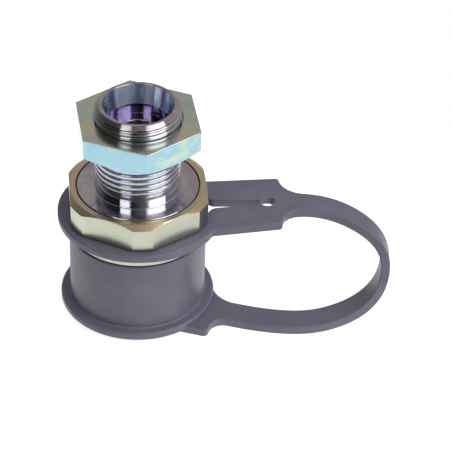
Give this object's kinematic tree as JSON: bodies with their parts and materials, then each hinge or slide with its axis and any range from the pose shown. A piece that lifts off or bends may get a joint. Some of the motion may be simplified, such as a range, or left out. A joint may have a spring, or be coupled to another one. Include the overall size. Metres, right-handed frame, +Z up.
{
  "type": "hydraulic brake coupling",
  "caption": "Male hydraulic trailer brake coupling with a threaded bulkhead tail, thin lock nut, hexagon body and a soft dust cap held by a looped strap.",
  "frame": {"origin": "on the coupling's axis in the plane of the dust cap's closed end, which it stands on", "axes": "+Z up the axis to the threaded port, +X towards the dust cap's strap, +Y to the back"},
  "size_m": [0.0795, 0.0378, 0.0562],
  "materials": {
    "zinc_body": "zinc plated, iridescent clear passivation",
    "zinc_adapter": "zinc plated, iridescent blue passivation",
    "zinc_nut": "zinc plated, iridescent blue passivation",
    "soft_grey": "moulded soft vinyl, semi-matt",
    "valve_steel": "turned bright",
    "spring_steel": "drawn wire",
    "guide_brass": "turned",
    "seal_rubber": "matt",
    "backup_plastic": "cut from tube"
  },
  "bodies": {
    "coupling": {"coupling_body": "zinc_body", "adapter": "zinc_adapter", "valve_guide": "guide_brass", "guide_ring": "spring_steel", "adapter_o_ring": "seal_rubber", "adapter_backup_ring": "backup_plastic"},
    "nut": {"lock_nut": "zinc_nut"},
    "poppet": {"valve_poppet": "valve_steel", "poppet_seal": "seal_rubber", "poppet_tip": "valve_steel", "valve_spring": "spring_steel"},
    "cap": {"dust_cap": "soft_grey"}
  },
  "joints": [
    {"name": "nut_travel", "type": "slide", "parent": "coupling", "child": "nut", "axis": [0, 0, 1], "range_m": [-0.0095, 0.0035]},
    {"name": "poppet_slide", "type": "slide", "parent": "coupling", "child": "poppet", "axis": [0, 0, 1], "range_m": [0, 0.004], "stiffness_N_per_m": 1500, "springref_m": -0.004, "deforming": ["valve_spring"]},
    {"name": "cap_swivel", "type": "hinge", "parent": "coupling", "child": "cap", "pos_m": [0, 0, 0.026], "axis": [0, 0, 1], "continuous": true}
  ]
}
